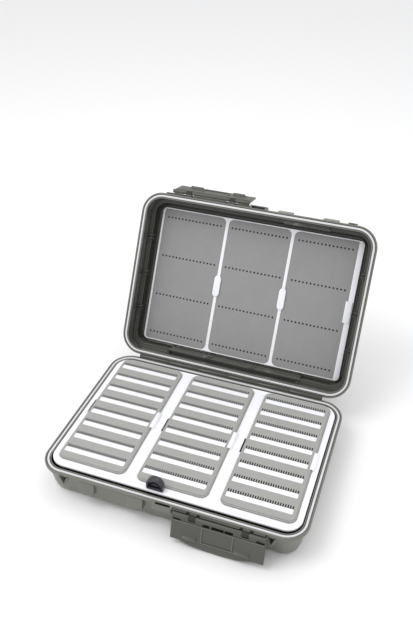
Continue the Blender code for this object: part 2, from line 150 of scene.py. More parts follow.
def rounded_rectangle(half_x, half_y, radius, mid=(0.0, 0.0), steps=8):
    points = []
    for quarter, (sx, sy) in enumerate(((1, 1), (-1, 1), (-1, -1), (1, -1))):
        centre = (mid[0] + sx * (half_x - radius), mid[1] + sy * (half_y - radius))
        points += arc(centre, radius, 90 * quarter, 90 * quarter + 90, steps)
    return points


def flange_inset(inset, steps=14):
    return rounded_rectangle(FLANGE_X - inset, FLANGE_Y - inset, CORNER_R - inset, steps=steps)


def softened(corners, closed=False, steps=3):
    """A polyline of (a, b, reach) whose corners become curves that start and end `reach` away."""
    count = len(corners)
    points = []
    for i, (a, b, reach) in enumerate(corners):
        here = Vector((a, b))
        if reach == 0 or (not closed and i in (0, count - 1)):
            points.append((a, b))
            continue
        before = Vector(corners[i - 1][:2])
        after = Vector(corners[(i + 1) % count][:2])
        start = here + (before - here).normalized() * min(reach, (before - here).length * 0.49)
        end = here + (after - here).normalized() * min(reach, (after - here).length * 0.49)
        for k in range(steps + 1):
            t = k / steps
            point = start * (1 - t) ** 2 + here * 2 * t * (1 - t) + end * t ** 2
            points.append((point.x, point.y))
    return points


# ---------------------------------------------------------------- meshes

def loft(rings, ring_closes=False):
    """Skins 3-D rings of equal length; the ends are capped, or joined to each other."""
    bm = bmesh.new()
    rows = [[bm.verts.new(point) for point in ring] for ring in rings]
    pairs = list(zip(rows, rows[1:]))
    if ring_closes:
        pairs.append((rows[-1], rows[0]))
    else:
        bm.faces.new(rows[0])
        bm.faces.new(rows[-1])
    for low, high in pairs:
        for i, vert in enumerate(low):
            j = (i + 1) % len(low)
            bm.faces.new((vert, low[j], high[j], high[i]))
    bmesh.ops.recalc_face_normals(bm, faces=bm.faces)
    return bm


PLACES = {
    "X": lambda a, b, h: (h, a, b),
    "Y": lambda a, b, h: (a, h, b),
    "Z": lambda a, b, h: (a, b, h),
}


def prism(outline, low, high, axis="Z", bevel=0.0):
    """A polygon extruded along an axis, with softened edges."""
    place = PLACES[axis]
    bm = loft([[place(a, b, h) for a, b in outline] for h in (low, high)])
    if bevel:
        sharp = [e for e in bm.edges if e.calc_face_angle(0.0) > math.radians(40)]
        bmesh.ops.bevel(
            bm, geom=sharp, offset=bevel, segments=2, profile=0.6, affect="EDGES", clamp_overlap=True
        )
    return bm


def box(x, y, z, bevel=0.0):
    return prism([(x[0], y[0]), (x[1], y[0]), (x[1], y[1]), (x[0], y[1])], *z, bevel=bevel)


def to_mesh(name, bm):
    bmesh.ops.scale(bm, vec=(MM, MM, MM), verts=bm.verts)
    mesh = bpy.data.meshes.new(name)
    bm.to_mesh(mesh)
    bm.free()
    return mesh


def new_object(name, data):
    obj = bpy.data.objects.new(name, data)
    bpy.context.scene.collection.objects.link(obj)
    return obj


def piece(name, bm, material):
    mesh = to_mesh(name, bm)
    mesh.materials.append(material)
    return new_object(name, mesh)


def evaluated_mesh(obj):
    graph = bpy.context.evaluated_depsgraph_get()
    return bpy.data.meshes.new_from_object(obj.evaluated_get(graph))


def apply_modifiers(obj):
    mesh = evaluated_mesh(obj)
    obj.modifiers.clear()
    obj.data = mesh


def combine(target, tools, operation):
    """Unites or subtracts millimetre shapes with the target's mesh."""
    helpers = []
    for number, bm in enumerate(tools):
        helper = new_object(f"{target.name}_tool_{number}", to_mesh("tool", bm))
        modifier = target.modifiers.new(operation, "BOOLEAN")
        modifier.operation = operation
        modifier.solver = "EXACT"
        modifier.object = helper
        helpers.append(helper)
    apply_modifiers(target)
    for helper in helpers:
        bpy.data.objects.remove(helper, do_unlink=True)


def add(target, *tools):
    combine(target, tools, "UNION")


def cut(target, *tools):
    combine(target, tools, "DIFFERENCE")


def smooth(obj, angle=32.0):
    obj.data.shade_smooth()
    obj.data.set_sharp_from_angle(angle=math.radians(angle))
    return obj


def round_edges(obj, width):
    """Bevels the sharp edges of a finished mesh."""
    modifier = obj.modifiers.new("edges", "BEVEL")
    modifier.width = width * MM
    modifier.segments = 2
    modifier.limit_method = "ANGLE"
    modifier.angle_limit = math.radians(40.0)
    modifier.harden_normals = False
    apply_modifiers(obj)


def sheet_with_holes(name, outline, holes, low, high, material):
    """A flat sheet between two heights with an outline and any number of holes."""
    curve = bpy.data.curves.new(name, "CURVE")
    curve.dimensions = "2D"
    curve.fill_mode = "BOTH"
    curve.extrude = (high - low) / 2 * MM
    for loop in [outline, *holes]:
        spline = curve.splines.new("POLY")
        spline.points.add(len(loop) - 1)
        for point, (x, y) in zip(spline.points, loop):
            point.co = (x * MM, y * MM, 0.0, 1.0)
        spline.use_cyclic_u = True
    guide = new_object(name + "_guide", curve)
    mesh = evaluated_mesh(guide)
    bpy.data.objects.remove(guide, do_unlink=True)
    mesh.transform(Matrix.Translation((0.0, 0.0, (low + high) / 2 * MM)))
    bm = bmesh.new()
    bm.from_mesh(mesh)
    bmesh.ops.remove_doubles(bm, verts=bm.verts, dist=1e-6)
    bmesh.ops.recalc_face_normals(bm, faces=bm.faces)
    bm.to_mesh(mesh)
    bm.free()
    mesh.materials.clear()
    mesh.materials.append(material)
    return new_object(name, mesh)


def join(target, *others):
    """Puts other objects' faces into the target, which keeps each one's material."""
    bm = bmesh.new()
    bm.from_mesh(target.data)
    for other in others:
        slot = len(target.data.materials)
        for material in other.data.materials:
            target.data.materials.append(material)
        before = len(bm.faces)
        bm.from_mesh(other.data)
        bm.faces.ensure_lookup_table()
        for face in bm.faces[before:]:
            face.material_index += slot
        bpy.data.objects.remove(other, do_unlink=True)
    bm.to_mesh(target.data)
    bm.free()
    return target


# ---------------------------------------------------------------- materials

def new_material(name):
    material = bpy.data.materials.new(name)
    material.use_nodes = True
    nodes, links = material.node_tree.nodes, material.node_tree.links
    return material, nodes, links, nodes["Principled BSDF"]


def noise(nodes, links, scale, detail=3.0, roughness=0.5, stretch=(1.0, 1.0, 1.0)):
    where = nodes.new("ShaderNodeTexCoord")
    mapping = nodes.new("ShaderNodeMapping")
    mapping.inputs["Scale"].default_value = stretch
    texture = nodes.new("ShaderNodeTexNoise")
    texture.inputs["Scale"].default_value = scale
    texture.inputs["Detail"].default_value = detail
    texture.inputs["Roughness"].default_value = roughness
    links.new(where.outputs["Object"], mapping.inputs["Vector"])
    links.new(mapping.outputs["Vector"], texture.inputs["Vector"])
    return texture.outputs["Fac"]


def remap(nodes, links, value, low, high, to_low, to_high):
    node = nodes.new("ShaderNodeMapRange")
    node.inputs["From Min"].default_value = low
    node.inputs["From Max"].default_value = high
    node.inputs["To Min"].default_value = to_low
    node.inputs["To Max"].default_value = to_high
    links.new(value, node.inputs["Value"])
    return node.outputs["Result"]


def blend_colours(nodes, links, factor, dark, light):
    ramp = nodes.new("ShaderNodeValToRGB")
    ramp.color_ramp.elements[0].color = (*dark, 1.0)
    ramp.color_ramp.elements[1].color = (*light, 1.0)
    links.new(factor, ramp.inputs["Fac"])
    return ramp.outputs["Color"]


def bump(nodes, links, shader, layers):
    """Stacks bump layers given as (height socket, strength, distance in millimetres)."""
    normal = None
    for height, strength, distance in layers:
        node = nodes.new("ShaderNodeBump")
        node.inputs["Strength"].default_value = strength
        node.inputs["Distance"].default_value = distance * MM
        links.new(height, node.inputs["Height"])
        if normal is not None:
            links.new(normal, node.inputs["Normal"])
        normal = node.outputs["Normal"]
    links.new(normal, shader.inputs["Normal"])


def shade(colour, factor):
    return tuple(min(1.0, c * factor) for c in colour)


def moulded(name, colour, roughness, contrast=0.06, grain=0.25, coat=0.0):
    """Moulded plastic: faint flow mottling, patchy gloss and a fine pebbled grain."""
    material, nodes, links, shader = new_material(name)
    flow = noise(nodes, links, 14.0, detail=4.0, stretch=(1.0, 2.5, 1.0))
    fine = noise(nodes, links, 2600.0, detail=2.0)
    wear = noise(nodes, links, 90.0, detail=5.0, roughness=0.6)
    mixed = remap(nodes, links, flow, 0.3, 0.7, 0.0, 1.0)
    links.new(
        blend_colours(nodes, links, mixed, shade(colour, 1 - contrast), shade(colour, 1 + contrast)),
        shader.inputs["Base Color"],
    )
    links.new(
        remap(nodes, links, wear, 0.25, 0.75, roughness - 0.05, roughness + 0.06), shader.inputs["Roughness"]
    )
    bump(nodes, links, shader, [(wear, 0.12, 0.15), (fine, grain, 0.05)])
    shader.inputs["Coat Weight"].default_value = coat
    shader.inputs["Coat Roughness"].default_value = 0.25
    return material


def foam_material(name, colour, sheen=0.15):
    """Closed-cell foam: small cells in the bump, and pale and dark specks in the colour."""
    material, nodes, links, shader = new_material(name)
    where = nodes.new("ShaderNodeTexCoord")
    cells = nodes.new("ShaderNodeTexVoronoi")
    cells.inputs["Scale"].default_value = 1500.0
    links.new(where.outputs["Object"], cells.inputs["Vector"])
    cloud = noise(nodes, links, 60.0, detail=6.0, roughness=0.65)
    speck = noise(nodes, links, 900.0, detail=2.0)
    mixed = remap(nodes, links, cloud, 0.3, 0.7, 0.35, 0.65)
    total = nodes.new("ShaderNodeMath")
    total.operation = "MULTIPLY_ADD"
    links.new(speck, total.inputs[0])
    total.inputs[1].default_value = 0.6
    links.new(remap(nodes, links, mixed, 0.0, 1.0, -0.3, 0.7), total.inputs[2])
    links.new(
        blend_colours(nodes, links, total.outputs["Value"], shade(colour, 0.88), shade(colour, 1.1)),
        shader.inputs["Base Color"],
    )
    shader.inputs["Roughness"].default_value = 0.9
    shader.inputs["Specular IOR Level"].default_value = 0.25
    shader.inputs["Sheen Weight"].default_value = sheen
    bump(nodes, links, shader, [(cells.outputs["Distance"], 0.35, 0.12), (cloud, 0.2, 0.3)])
    return material


def steel_material(name):
    """Drawn wire: streaks along X."""
    material, nodes, links, shader = new_material(name)
    streaks = noise(nodes, links, 900.0, detail=3.0, stretch=(0.02, 1.0, 1.0))
    shader.inputs["Metallic"].default_value = 1.0
    shader.inputs["Base Color"].default_value = (0.60, 0.60, 0.58, 1.0)
    links.new(remap(nodes, links, streaks, 0.3, 0.7, 0.22, 0.42), shader.inputs["Roughness"])
    bump(nodes, links, shader, [(streaks, 0.15, 0.03)])
    return material


OLIVE = moulded("olive_shell_plastic", (0.145, 0.145, 0.125), 0.36, grain=0.3, coat=0.1)
# The olive painted darker: painted shade for the shell's inside, its recesses and the tray's skirt.
OLIVE_PAINTED_SHADE = moulded("olive_painted_shade", (0.045, 0.045, 0.038), 0.24, grain=0.12, coat=0.15)
# Near black: a deeper painted shade for the ear pockets, the groove and the latch's slots.
SHADED_PLASTIC = moulded("shaded_plastic", (0.014, 0.014, 0.012), 0.6, grain=0.1)
# Lighter than the painted shade inside: painted light on the lid's hinge-side rail.
RAIL_PAINTED_LIGHT = moulded("rail_painted_light", (0.090, 0.090, 0.078), 0.28, grain=0.2)
# The latch plastic painted lighter: painted highlights on the ribs' and lips' front faces.
LATCH_PAINTED_HIGHLIGHT = moulded("latch_painted_highlight", (0.130, 0.130, 0.114), 0.35, grain=0.1)
LATCH_PLASTIC = moulded("latch_plastic", (0.070, 0.070, 0.060), 0.42, grain=0.3)
SEAL = moulded("seal_rubber", (0.66, 0.66, 0.68), 0.32, contrast=0.03, grain=0.1)
WHITE = moulded("white_tray_plastic", (0.88, 0.885, 0.92), 0.36, contrast=0.015, grain=0.1)
PULL_BLACK = moulded("black_pull_plastic", (0.018, 0.016, 0.026), 0.22, grain=0.12, coat=0.4)
BASE_FOAM = foam_material("slotted_foam", (0.365, 0.365, 0.352))
# Near-black foam: painted shade in the slits, the holes and the skins under them.
FOAM_PAINTED_SHADE = foam_material("foam_painted_shade", (0.012, 0.012, 0.012), sheen=0.0)
LID_FOAM = foam_material("flat_foam", (0.30, 0.30, 0.302))
STEEL = steel_material("drawn_steel")


# ---------------------------------------------------------------- shell

def shell_profile():
    """(inset, height) from the outer floor, up and over the rim, down to the inner floor."""
    corners = [
        (24.0, 0.0, 0.0), (10.6, 0.0, 12.5), (3.2, 40.0, 1.0), (0.0, 40.4, 0.8), (0.0, LAND_Z, 0.9),
        (2.2, LAND_Z, 0.4), (2.4, 42.3, 0.2), (6.6, 42.3, 0.2), (6.8, 44.5, 0.4), (8.2, 44.5, 0.4),
        (8.8, 23.5, 1.0), (13.6, 23.5, 0.8), (13.6, 21.0, 0.8), (10.4, 18.5, 1.2), (11.9, 3.0, 8.0),
        (24.0, 3.0, 0.0),
    ]
    return softened(corners, steps=4)


def knuckle_spans(own):
    start = -KNUCKLE_PITCH * KNUCKLE_COUNT / 2
    return [
        (start + KNUCKLE_PITCH * i, start + KNUCKLE_PITCH * (i + 1))
        for i in range(0 if own else 1, KNUCKLE_COUNT, 2)
    ]


def knuckles():
    eye = arc((HINGE_Y, RIM_Z), KNUCKLE_R, -110, 180, 20)
    outline = eye + [(119.0, 43.5), (118.8, 41.5), (116.2, 40.8), (116.2, 36.8)]
    return [prism(outline, a + 0.2, b - 0.2, "X", bevel=0.35) for a, b in knuckle_spans(own=True)]


def latch_ears():
    y, z = LATCH_AXIS.y, LATCH_AXIS.z
    outline = arc((y, z), BARREL_R, 90, 270, 14)
    outline += [(-121.5, 38.2), (-116.0, 34.5), (-116.0, 38.0), (-119.0, 41.0), (-119.0, 43.8)]
    return [prism(outline, a, b, "X", bevel=0.3) for a, b in EAR_X]


def keepers():
    """Hook ledges on the front wall, sloped on the side that the latch rides over."""
    slope = [(-112.5, 24.4), (-123.3, 24.4), (-123.3, 27.0), (-120.4, 40.2), (-113.5, 40.4)]
    return [prism(slope, a, b, "X", bevel=0.4) for a, b in KEEPER_X]


def front_panel():
    """A shallow raised panel on the front wall between the keepers."""
    outline = [(-104.0, 12.0), (-116.4, 12.0), (-119.0, 38.5), (-110.0, 40.0)]
    return prism(outline, -102.0, -36.0, "X", bevel=0.5)


def lugs():
    """A pair of V-shaped fins under the flange at each front corner."""
    fins = []
    for x in (-LUG_X, LUG_X):
        for sign in (-1, 1):
            top, foot = x + sign * 6.5, x + sign * 0.4
            outline = [(top, 41.0), (top - sign * 2.2, 41.0), (foot - sign * 1.2, 28.0), (foot, 28.0)]
            fins.append(prism(outline, -122.6, -113.0, "Y", bevel=0.3))
    return fins


def hasp():
    """A loop under the rim with a deep blind slot, and the slot's cutter."""
    body = rounded_rectangle(12.7, 2.65, 1.6, (-0.7, -121.85), steps=4)
    root = box((-13.2, 11.8), (-122.5, -114.5), (36.0, 40.9))
    slot = rounded_rectangle(9.4, 1.55, 0.8, (-0.3, -121.75), steps=3)
    return [prism(body, 36.0, 44.6, bevel=0.35), root], prism(slot, 37.5, 47.0)


def bracket():
    """The bar behind the latch's barrel, pocketed at the ears."""
    bar = box(BRACKET_X, (-122.7, -119.2), (37.5, 44.3), bevel=0.3)
    cap = box(BRACKET_X, (-124.0, -119.2), (43.6, 44.5), bevel=0.2)
    pockets = [
        box((x, x + 4.2), (-124.0, -120.6), (38.5, 46.0)) for a, b in EAR_X for x in (a - 4.6, b + 0.4)
    ]
    return [bar, cap], pockets


def inner_rail():
    """The raised band on the hinge-side inner wall, with end brackets, ribs and a ledge."""
    face = [(114.0, 28.6), (107.6, 28.6), (104.4, 6.0), (113.0, 6.0)]
    tools = [prism(face, *RAIL_X, "X", bevel=0.5)]
    upright = [(113.0, 34.0), (110.0, 34.0), (108.2, 27.0), (103.6, 5.0), (113.0, 5.0)]
    for x in (-99.0, 98.0):
        tools.append(prism(upright, x, x + 4.0, "X", bevel=0.4))
    rib = [(113.0, 28.8), (106.2, 28.8), (103.2, 6.0), (113.0, 6.0)]
    for x in (-31.0, -26.5, 36.0, 40.5):
        tools.append(prism(rib, x, x + 1.7, "X", bevel=0.3))
    ledge = [(113.0, 18.4), (104.9, 18.0), (104.6, 16.4), (113.0, 15.8)]
    tools.append(prism(ledge, *RAIL_X, "X", bevel=0.3))
    return tools


def inner_details():
    """Bosses on the front inner wall and pairs of ribs across the side ledges."""
    tools = []
    for x in (0.0, 99.0):
        ring = prism(circle((x, 20.0), 4.2, 24), -112.0, -107.4, "Y", bevel=0.4)
        tools += [ring, prism(circle((x, 20.0), 2.0, 16), -112.0, -106.4, "Y", bevel=0.3)]
    for side in (-1, 1):
        for middle in RIB_PAIRS_Y:
            for y in (middle - 3.2, middle + 1.6):
                limits = sorted((side * 163.5, side * 155.8))
                tools.append(box(limits, (y, y + 1.6), (17.5, 28.5), bevel=0.3))
    return tools


def half_shell(name, inner_tools):
    rings = [[(x, y, z) for x, y in flange_inset(inset)] for inset, z in shell_profile()]
    shell = piece(name, loft(rings), OLIVE)
    # The shell's painted shade, deeper painted shade and painted light on the rail.
    for material in (OLIVE_PAINTED_SHADE, SHADED_PLASTIC, RAIL_PAINTED_LIGHT):
        shell.data.materials.append(material)
    hinge_line, end = (HINGE_Y, RIM_Z), KNUCKLE_PITCH * KNUCKLE_COUNT / 2 + 2
    cut(shell, *[prism(circle(hinge_line, NOTCH_R, 32), a, b, "X") for a, b in knuckle_spans(own=False)])
    loop, loop_slot = hasp()
    bar, pockets = bracket()
    add(shell, *knuckles(), *bar)
    cut(shell, *pockets)
    add(shell, *latch_ears(), front_panel(), *keepers(), *lugs(), *loop)
    cut(
        shell,
        prism(circle(hinge_line, HINGE_BORE_R, 24), -end, end, "X"),
        prism(circle((LATCH_AXIS.y, LATCH_AXIS.z), LATCH_BORE_R, 20), *LATCH_X, "X"),
        loop_slot,
    )
    if inner_tools:
        cut(shell, box(GROOVE_X, GROOVE_Y, GROOVE_Z))
        add(shell, *inner_tools)
    paint_shell_light_and_shade(shell)
    return smooth(shell)


def paint_shell_light_and_shade(shell):
    """Sorts faces by place into painted shade (inside, in recesses, on the hinge, in the hasp's slot and on
    the bar behind the latch), deeper painted shade (ear pockets and groove) and painted light on the
    hinge-side rail.
    """
    for face in shell.data.polygons:
        x, y, z = face.center / MM
        mouth = max(abs(x) - (FLANGE_X - 6.9), abs(y) - (FLANGE_Y - 6.9))
        inward = face.normal.x * x + face.normal.y * y < 0 or face.normal.z > 0.5
        inside = mouth < 0 and 2.9 < z < 44.2 and inward
        hinge = y > FLANGE_Y - 1.8 and abs(x) < 139 and z > 40
        slot = -123.5 < y < -120.0 and -10.0 < x < 9.4 and 37.0 < z < 44.3
        bar = y < -120.7 and BRACKET_X[0] - 1 < x < BRACKET_X[1] + 1 and z > 36.0
        ear = bar and any(a - 0.1 < x < b + 0.1 for a, b in EAR_X)
        groove = GROOVE_Z[0] - 0.1 < z < GROOVE_Z[1] + 0.1 and y > 108.0
        groove = groove and GROOVE_X[0] - 0.1 < x < GROOVE_X[1] + 0.1
        rail = 6.0 < z < 28.5 and 103.0 < y < 109.5 and face.normal.y < -0.5
        if ear or groove:
            face.material_index = SHADED
        elif rail:
            face.material_index = PAINTED_LIGHT_SLOT
        elif inside or hinge or slot or bar:
            face.material_index = PAINTED_SHADE_SLOT


def seal(name):
    """A crowned seal bead in the rim groove."""
    corners = [
        (3.0, 42.5, 0.2), (3.0, 44.2, 0.5), (3.5, LAND_Z, 0.6), (5.5, LAND_Z, 0.6), (6.0, 44.2, 0.5),
        (6.0, 42.5, 0.2),
    ]
    section = softened(corners, closed=True, steps=3)
    rings = [[(x, y, z) for x, y in flange_inset(inset)] for inset, z in section]
    return smooth(piece(name, loft(rings, ring_closes=True), SEAL), 60.0)


# ---------------------------------------------------------------- latch

def flap_outline():
    low, high = GRIP_X
    points = [(LATCH_X[1], -1.0), (LATCH_X[1], -FLAP_LENGTH)]
    points += [(high, -FLAP_LENGTH), (low, -FLAP_LENGTH)]
    points += [(LATCH_X[0], -FLAP_LENGTH), (LATCH_X[0], -1.0)]
    for a, b in EAR_X:
        points += [(a - EAR_GAP, -1.0), (a - EAR_GAP, -4.2), (b + EAR_GAP, -4.2), (b + EAR_GAP, -1.0)]
    return points


def grip():
    """The crescent below the flap: bent back from the lip side, with an arc for its free edge."""
    low, high = GRIP_X
    steps, rows = 40, 5
    bm = bmesh.new()
    sheets = []
    for offset in (-FLAP_THICKNESS / 2, FLAP_THICKNESS / 2):
        grid = []
        for i in range(steps + 1):
            share = i / steps
            x = low + (high - low) * share
            depth = GRIP_DEPTH * math.sin(math.pi * share) ** 0.8
            column = []
            for k in range(rows + 1):
                down = -1.5 + (depth + 1.5) * k / rows
                back = 0.045 * max(down, 0.0) ** 2
                column.append(bm.verts.new((x, offset + back, -FLAP_LENGTH - down)))
            grid.append(column)
        sheets.append(grid)
    near, far = sheets
    for i in range(steps):
        for k in range(rows):
            bm.faces.new((near[i][k], near[i + 1][k], near[i + 1][k + 1], near[i][k + 1]))
            bm.faces.new((far[i][k], far[i][k + 1], far[i + 1][k + 1], far[i + 1][k]))
        for k in (0, rows):
            bm.faces.new((near[i][k], far[i][k], far[i + 1][k], near[i + 1][k]))
    for i in (0, steps):
        for k in range(rows):
            bm.faces.new((near[i][k], near[i][k + 1], far[i][k + 1], far[i][k]))
    bmesh.ops.recalc_face_normals(bm, faces=bm.faces)
    return bm


def lip(low, high):
    """A hook lip with a scooped root: a curved ledge across the flap."""
    outline = [
        (0.5, -20.0, 0.0), (-1.0, -20.8, 0.5), (-1.8, -25.4, 3.0), (-4.4, -26.8, 0.3), (-4.4, -27.8, 0.3),
        (-1.0, -28.6, 0.4), (0.5, -28.6, 0.0),
    ]
    return prism(softened(outline, closed=True), low, high, "X", bevel=0.4)


def latch(name):
    """The flap in its own frame: origin on its axis, hanging along -Z, lips towards -Y."""
    half = FLAP_THICKNESS / 2
    flap = piece(name, prism(flap_outline(), -half, half, "Y", bevel=0.25), LATCH_PLASTIC)
    edges = [LATCH_X[0]] + [x for a, b in EAR_X for x in (a - EAR_GAP, b + EAR_GAP)] + [LATCH_X[1]]
    barrels = [
        prism(circle((0.0, 0.0), BARREL_R, 28), a, b, "X", bevel=0.3)
        for a, b in zip(edges[::2], edges[1::2])
    ]
    front = -half - RIB_HEIGHT
    ribs = [
        box(FRAME_LEFT, (front, 0.0), (-28.4, -6.5), bevel=0.18),
        box(FRAME_RIGHT, (front, 0.0), (-28.4, -6.5), bevel=0.18),
        box((FRAME_LEFT[0], FRAME_RIGHT[1]), (front, 0.0), (-29.2, -27.9), bevel=0.18),
        box((LATCH_X[0] + 1, LATCH_X[1] - 1), (front, 0.0), (-7.6, -6.2), bevel=0.25),
    ]
    add(flap, *barrels, *ribs, *[lip(a, b) for a, b in LIP_X], grip())
    cut(
        flap,
        prism(circle((0.0, 0.0), LATCH_BORE_R, 20), LATCH_X[0] - 2, LATCH_X[1] + 2, "X"),
        *[box(x, (-6.0, 6.0), FLAP_SLOT_Z) for x in FLAP_SLOTS_X],
    )
    paint_latch_light_and_shade(flap, front)
    return smooth(flap)


def paint_latch_light_and_shade(flap, front):
    """Paints highlights on the ribs' and lips' front faces with a lighter material, and shade on the slots'
    walls with a dark one.
    """
    flap.data.materials.append(LATCH_PAINTED_HIGHLIGHT)
    flap.data.materials.append(SHADED_PLASTIC)
    for face in flap.data.polygons:
        x, y, z = face.center / MM
        raised = abs(y - front) < 0.05 or y < -4.0
        if raised and -30.0 < z < -6.0 and face.normal.y < -0.8:
            face.material_index = 1
        in_slot = any(a - 0.1 < x < b + 0.1 for a, b in FLAP_SLOTS_X) and abs(face.normal.y) < 0.5
        if in_slot and FLAP_SLOT_Z[0] - 0.1 < z < FLAP_SLOT_Z[1] + 0.1:
            face.material_index = 2


# ---------------------------------------------------------------- base tray

def insert_box(side):
    return node_box(f"base_foam_{side}")


def base_tray():
    mid = (0.0, TRAY_MID_Y)
    low = TRAY_LOW.z
    profile = softened(
        [
            (TRAY_SKIRT, low, 0.0), (0.6, low, 0.3), (0.6, TRAY_TOP_Z - 2.8, 0.0),
            (0.0, TRAY_TOP_Z - 2.6, 0.0), (0.0, TRAY_TOP_Z, 0.9), (12.0, TRAY_TOP_Z, 0.0),
        ],
        steps=5,
    )
    rings = []
    for inset, z in profile:
        radius = TRAY_R - min(inset, 10.0)
        ring = rounded_rectangle(TRAY_HALF[0] - inset, TRAY_HALF[1] - inset, radius, mid, 12)
        rings.append([(x, y, z) for x, y in ring])
    inner_half = (TRAY_HALF[0] - TRAY_SKIRT, TRAY_HALF[1] - TRAY_SKIRT)
    inner = rounded_rectangle(*inner_half, TRAY_R - TRAY_SKIRT, mid, 12)
    tray = piece("tray_frame", loft(rings), WHITE)
    pockets = []
    for side in SIDES:
        middle, half = plan_of(*insert_box(side))
        outline = rounded_rectangle(half[0] + 0.5, half[1] + 0.5, 10.0, middle, 8)
        pockets.append(prism(outline, TRAY_TOP_Z - 4.5, TRAY_TOP_Z + 5))
    slots = []
    for side in SIDES:
        edge = insert_box(side)[0].x
        slots.append(box((edge - 2.4, edge + 0.2), PRY_SLOT_Y, (TRAY_TOP_Z - 9, TRAY_TOP_Z + 2)))
    cut(tray, prism(inner, low - 2, TRAY_TOP_Z - 7), *pockets, *slots)
    clips = []
    foam_top = insert_box("left")[1].z
    for side in SIDES:
        edge = insert_box(side)[1].x
        outline = [
            (edge + 1.0, TRAY_TOP_Z - 1, 0), (edge + 5.0, TRAY_TOP_Z - 1, 0),
            (edge + 4.2, TRAY_TOP_Z + 0.9, 1.0), (edge + 1.6, foam_top + 1.3, 1.2),
            (edge - 2.6, foam_top + 1.1, 0.3), (edge - 2.6, foam_top + 0.3, 0.2),
            (edge + 1.0, foam_top + 0.3, 0.3),
        ]
        clips.append(prism(softened(outline, closed=True, steps=3), *BASE_CLIP_Y, "Y", bevel=0.4))
    add(tray, *clips)
    round_edges(tray, 0.35)
    # Below the white edge the tray's side gets the olive's painted shade, for the shade in the gap under the
    # rim.
    tray.data.materials.append(OLIVE_PAINTED_SHADE)
    for face in tray.data.polygons:
        below = face.center.z / MM < TRAY_TOP_Z - TRAY_EDGE
        face.material_index = 1 if below and abs(face.normal.z) < 0.7 else 0
    return smooth(tray)


def window_starts():
    return [WINDOW_FIRST_Y + WINDOW_PITCH * i for i in range(WINDOW_COUNT)]


def insert_plate(side):
    """The white plate; its raised bars show through the foam's windows."""
    low, high = node_box(f"base_insert_plate_{side}")
    middle, half = plan_of(low, high)
    outline = rounded_rectangle(*half, 9.6, middle, 8)
    plate = piece(f"insert_plate_{side}", prism(outline, low.z, low.z + 3.0, bevel=0.3), WHITE)
    bar = (WINDOW_HALF_X - 0.3, WINDOW_WIDTH / 2 - 0.3)
    mid_x = middle[0] + WINDOW_MID_X
    bars = [
        prism(
            rounded_rectangle(*bar, 1.3, (mid_x, y + WINDOW_WIDTH / 2), 4), low.z + 2.0, high.z, bevel=0.35
        )
        for y in window_starts()
    ]
    add(plate, *bars)
    return smooth(plate)


def window_outline(mid_x, y, slits):
    """One window of the foam; its far edge is a comb of fine slits."""
    low, high = mid_x - WINDOW_HALF_X, mid_x + WINDOW_HALF_X
    far = y + WINDOW_WIDTH
    points = arc((low + 1.5, y + 1.5), 1.5, 180, 270, 4) + arc((high - 1.5, y + 1.5), 1.5, 270, 360, 4)
    points += arc((high - 1.5, far - 1.5), 1.5, 0, 90, 4)
    if slits:
        half = SLIT_WIDTH / 2
        for i in reversed(range(SLIT_COUNT)):
            x = mid_x + (i - (SLIT_COUNT - 1) / 2) * SLIT_PITCH
            points += [(x + half, far), (x + half, far + SLIT_DEPTH - half)]
            points += [(x, far + SLIT_DEPTH), (x - half, far + SLIT_DEPTH - half), (x - half, far)]
    points += arc((low + 1.5, far - 1.5), 1.5, 90, 180, 4)
    return points


def base_foam(side):
    """Slotted foam: an uncut skin in painted-shade foam that gives the slits a dark floor, a body, and a
    stepped-in top.
    """
    low, high = insert_box(side)
    middle, half = plan_of(low, high)
    mid_x = middle[0] + WINDOW_MID_X
    layers = []
    heights = (low.z, low.z + FOAM_SKIN, high.z - FOAM_TOP_LAYER, high.z)
    for number, (bottom, top) in enumerate(zip(heights, heights[1:])):
        inset = FOAM_STEP if number == 2 else 0.0
        outline = rounded_rectangle(half[0] - inset, half[1] - inset, 9.5 - inset, middle, 10)
        holes = [window_outline(mid_x, y, number > 0) for y in window_starts()]
        # The skin gets the painted-shade foam; the body and the top keep the foam's own colour.
        material = BASE_FOAM if number else FOAM_PAINTED_SHADE
        layers.append(sheet_with_holes(f"foam_{side}_{number}", outline, holes, bottom, top, material))
        paint_slit_shade(layers[-1])
    return join(*reversed(layers))


def paint_slit_shade(foam):
    """The cut walls of the slits get the dark foam: painted shade."""
    foam.data.materials.append(FOAM_PAINTED_SHADE)
    for face in foam.data.polygons:
        y = face.center.y / MM
        past = (y - WINDOW_FIRST_Y) % WINDOW_PITCH - WINDOW_WIDTH
        if abs(face.normal.z) < 0.5 and 0.05 < past < SLIT_DEPTH + 0.05:
            face.material_index = 1


def tray_pull():
    low, high = node_box("tray_pull")
    mid_x, radius = (low.x + high.x) / 2, (high.x - low.x) / 2
    eye = (mid_x, high.z - radius)
    outline = [(mid_x - radius, low.z), (mid_x + radius, low.z)] + arc(eye, radius, 0, 180, 28)
    pull = piece("finger_pull", prism(outline, low.y, high.y, "Y", bevel=1.1), PULL_BLACK)
    hollow = [(mid_x - radius + 3.2, low.z + 3.4), (mid_x + radius - 3.2, low.z + 3.4)]
    hollow += arc((eye[0], eye[1] - 0.6), radius - 3.2, 0, 180, 24)
    ledge = [
        (mid_x - 5.2, low.z + 6.2), (mid_x + 5.2, low.z + 6.2), (mid_x + 4.6, low.z + 8.6),
        (mid_x - 4.6, low.z + 8.6),
    ]
    cut(pull, prism(hollow, low.y - 2, low.y + 4.0, "Y"))
    add(pull, prism(ledge, low.y + 1.6, low.y + 5.0, "Y", bevel=0.6))
    round_edges(pull, 0.45)
    return smooth(pull, 40.0)


# ---------------------------------------------------------------- lid tray

